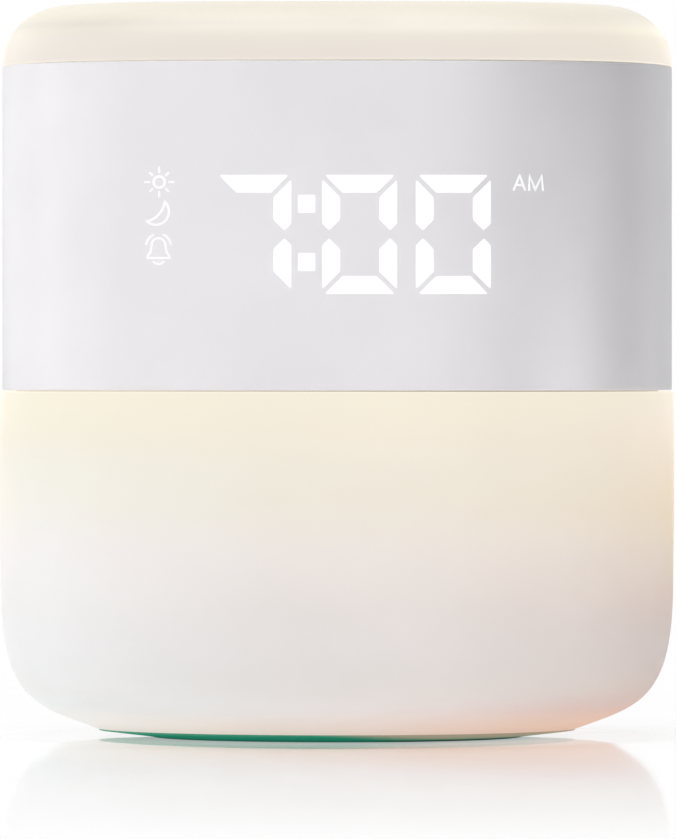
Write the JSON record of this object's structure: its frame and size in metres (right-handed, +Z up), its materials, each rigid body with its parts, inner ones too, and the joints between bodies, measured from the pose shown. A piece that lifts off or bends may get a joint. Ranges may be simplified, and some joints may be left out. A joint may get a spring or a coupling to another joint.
{
  "type": "alarm clock",
  "caption": "Squircle bedside alarm clock with a hidden lit display in a satin band between two glowing opal diffusers, round top button, rear keys and a power inlet.",
  "frame": {"origin": "centre of the footprint, on the surface that the clock stands on", "axes": "+Z up, the front with the display looks along -Y, +X to the right of someone who looks at the front"},
  "size_m": [0.115, 0.115, 0.125],
  "materials": {
    "opal": "milky opal diffuser, matte, lit warm from inside",
    "satin_white": "opaque white moulding, satin",
    "teal_plastic": "teal moulding, fine texture",
    "foot_rubber": "soft black rubber",
    "steel": "bright plated steel",
    "black_plastic": "black moulding, fine texture",
    "gold_plate": "plated spring contacts",
    "inner_white": "bright white inner moulding, matte",
    "white_board": "white light board",
    "warm_led": "warm white light-emitting diodes",
    "green_board": "green circuit board, gloss lacquer",
    "key_plastic": "white key caps, satin",
    "lit_white": "milky light pipes, lit white",
    "speaker_paper": "black pressed paper cone",
    "grey_cable": "flat grey cable",
    "silicone": "translucent grey silicone"
  },
  "bodies": {
    "housing": {"lower_diffuser": "opal", "display_band": "satin_white", "top_diffuser": "opal", "base_plate": "teal_plastic", "foot_ring": "foot_rubber", "coin_cell": "steel", "cell_holder": "black_plastic", "cell_contacts": "gold_plate", "reflector_cone": "inner_white", "lower_deck": "inner_white", "upper_deck": "inner_white", "lower_light_board": "white_board", "lower_leds": "warm_led", "top_light_board": "white_board", "top_leds": "warm_led", "main_board": "green_board", "board_components": "black_plastic", "tact_switches": "black_plastic", "display_board": "green_board", "display_block": "inner_white", "digit_pipes": "lit_white", "colon_pipes": "lit_white", "symbol_pipes": "lit_white", "day_half_pipe": "lit_white", "display_film": "inner_white", "speaker_frame": "steel", "speaker_magnet": "steel", "speaker_cone": "speaker_paper", "speaker_gasket": "foot_rubber", "power_jack": "black_plastic", "power_jack_pin": "steel", "base_screws": "steel", "deck_screws": "steel", "ribbon_cable": "grey_cable", "light_cables": "grey_cable", "button_guide": "inner_white", "return_dome": "silicone", "button_switch": "black_plastic"},
    "button": {"top_button": "satin_white", "button_plunger": "black_plastic"},
    "clock_key": {"key_clock": "key_plastic", "plunger_clock": "black_plastic"},
    "alarm_key": {"key_alarm": "key_plastic", "plunger_alarm": "black_plastic"},
    "up_key": {"key_up": "key_plastic", "plunger_up": "black_plastic"},
    "down_key": {"key_down": "key_plastic", "plunger_down": "black_plastic"},
    "light_key": {"key_light": "key_plastic", "plunger_light": "black_plastic"},
    "sound_key": {"key_sound": "key_plastic", "plunger_sound": "black_plastic"},
    "cell_cover": {"battery_cover": "teal_plastic"}
  },
  "joints": [
    {"name": "button_press", "type": "slide", "parent": "housing", "child": "button", "axis": [0, 0, -1], "range_m": [0, 0.001], "stiffness_N_per_m": 2000, "deforming": ["return_dome"]},
    {"name": "clock_key_press", "type": "slide", "parent": "housing", "child": "clock_key", "axis": [0, -1, 0], "range_m": [0, 0.0005], "stiffness_N_per_m": 2000},
    {"name": "alarm_key_press", "type": "slide", "parent": "housing", "child": "alarm_key", "axis": [0, -1, 0], "range_m": [0, 0.0005], "stiffness_N_per_m": 2000},
    {"name": "up_key_press", "type": "slide", "parent": "housing", "child": "up_key", "axis": [0, -1, 0], "range_m": [0, 0.0005], "stiffness_N_per_m": 2000},
    {"name": "down_key_press", "type": "slide", "parent": "housing", "child": "down_key", "axis": [0, -1, 0], "range_m": [0, 0.0005], "stiffness_N_per_m": 2000},
    {"name": "light_key_press", "type": "slide", "parent": "housing", "child": "light_key", "axis": [0, -1, 0], "range_m": [0, 0.0005], "stiffness_N_per_m": 2000},
    {"name": "sound_key_press", "type": "slide", "parent": "housing", "child": "sound_key", "axis": [0, -1, 0], "range_m": [0, 0.0005], "stiffness_N_per_m": 2000},
    {"name": "cell_cover_turn", "type": "hinge", "parent": "housing", "child": "cell_cover", "pos_m": [0, 0, 0.002], "axis": [0, 0, 1], "range_deg": [0, 30]}
  ]
}
